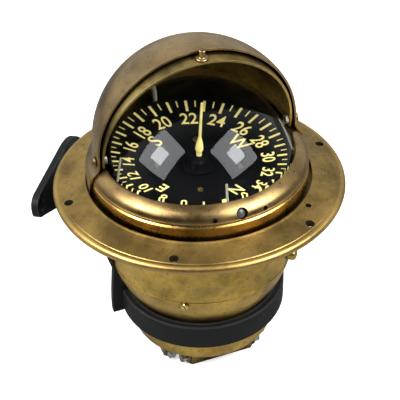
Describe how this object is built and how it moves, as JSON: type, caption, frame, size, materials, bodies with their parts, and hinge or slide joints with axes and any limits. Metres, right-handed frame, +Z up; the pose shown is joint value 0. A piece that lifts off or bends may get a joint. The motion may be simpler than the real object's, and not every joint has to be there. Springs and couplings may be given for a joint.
{
  "type": "binnacle compass",
  "caption": "Brass dome compass with a half-round hood, turning visor, round mounting flange and a black ring bracket for a bulkhead.",
  "frame": {"origin": "on the vertical axis of the compass, at the underside of the corrector base", "axes": "+Z up; +Y to the fore side, where the fixed hood is; -Y to the side it is read from; X along the hood pivots, + to starboard"},
  "size_m": [0.2306, 0.2313, 0.2617],
  "materials": {
    "aged_brass": "satin, tarnished",
    "bright_brass": "satin, rubbed bright",
    "black_paint": "satin black",
    "black_inner": "matt black",
    "card_black": "matt black",
    "lume_paint": "pale luminous yellow",
    "dome_glass": "polished",
    "lens_glass": "frosted",
    "steel": "dull",
    "rubber": "matt"
  },
  "bodies": {
    "case": {"base_screw_1": "steel", "base_screw_2": "steel", "base_screw_3": "steel", "base_screw_4": "steel", "bezel": "aged_brass", "bezel_screw_1": "aged_brass", "bezel_screw_2": "aged_brass", "bowl_rim": "bright_brass", "bulkhead_bracket": "black_paint", "cable_gland": "aged_brass", "case_drum": "aged_brass", "case_screw_1": "bright_brass", "case_screw_2": "bright_brass", "case_screw_3": "bright_brass", "clamp_screw_1": "steel", "clamp_screw_2": "steel", "corrector_base": "aged_brass", "dome_gasket": "rubber", "glass_dome": "dome_glass", "hood": "aged_brass", "inner_bowl": "black_inner", "lamp_lens": "lens_glass", "lower_case": "aged_brass", "lubber_post_aft": "lume_paint", "lubber_post_fore": "lume_paint", "lubber_post_port": "lume_paint", "lubber_post_starboard": "lume_paint", "lubber_ring": "black_inner", "mounting_flange": "aged_brass", "pivot_bridge": "aged_brass", "pivot_nut_port": "steel", "pivot_nut_starboard": "steel", "pivot_post": "steel", "pivot_screw_port": "aged_brass", "pivot_screw_starboard": "aged_brass", "wall_bolt_1": "black_paint", "wall_bolt_2": "black_paint"},
    "visor": {"visor": "aged_brass", "visor_knob": "aged_brass"},
    "card": {"card": "card_black", "card_hub": "card_black", "shadow_pin": "lume_paint", "card_float": "black_inner", "card_magnet_1": "steel", "card_magnet_2": "steel", "card_screw_1": "bright_brass", "card_screw_2": "bright_brass", "card_screw_3": "bright_brass", "card_screw_4": "bright_brass"},
    "rod_aft": {"corrector_rod_aft": "steel"},
    "rod_fore": {"corrector_rod_fore": "steel"},
    "rod_port": {"corrector_rod_port": "steel"},
    "rod_starboard": {"corrector_rod_starboard": "steel"}
  },
  "joints": [
    {"name": "visor_turn", "type": "hinge", "parent": "case", "child": "visor", "pos_m": [0, 0, 0.182], "axis": [1, 0, 0], "range_deg": [0, 75]},
    {"name": "card_turn", "type": "hinge", "parent": "case", "child": "card", "pos_m": [0, 0, 0.1588], "axis": [0.0625, -0.0221, 0.9978], "continuous": true},
    {"name": "rod_aft_turn", "type": "hinge", "parent": "case", "child": "rod_aft", "pos_m": [0, -0.0382, 0.0056], "axis": [1, 0, 0], "continuous": true},
    {"name": "rod_fore_turn", "type": "hinge", "parent": "case", "child": "rod_fore", "pos_m": [0, 0.0382, 0.0056], "axis": [1, 0, 0], "continuous": true},
    {"name": "rod_port_turn", "type": "hinge", "parent": "case", "child": "rod_port", "pos_m": [-0.0382, 0, 0.0056], "axis": [0, 1, 0], "continuous": true},
    {"name": "rod_starboard_turn", "type": "hinge", "parent": "case", "child": "rod_starboard", "pos_m": [0.0382, 0, 0.0056], "axis": [0, 1, 0], "continuous": true}
  ]
}
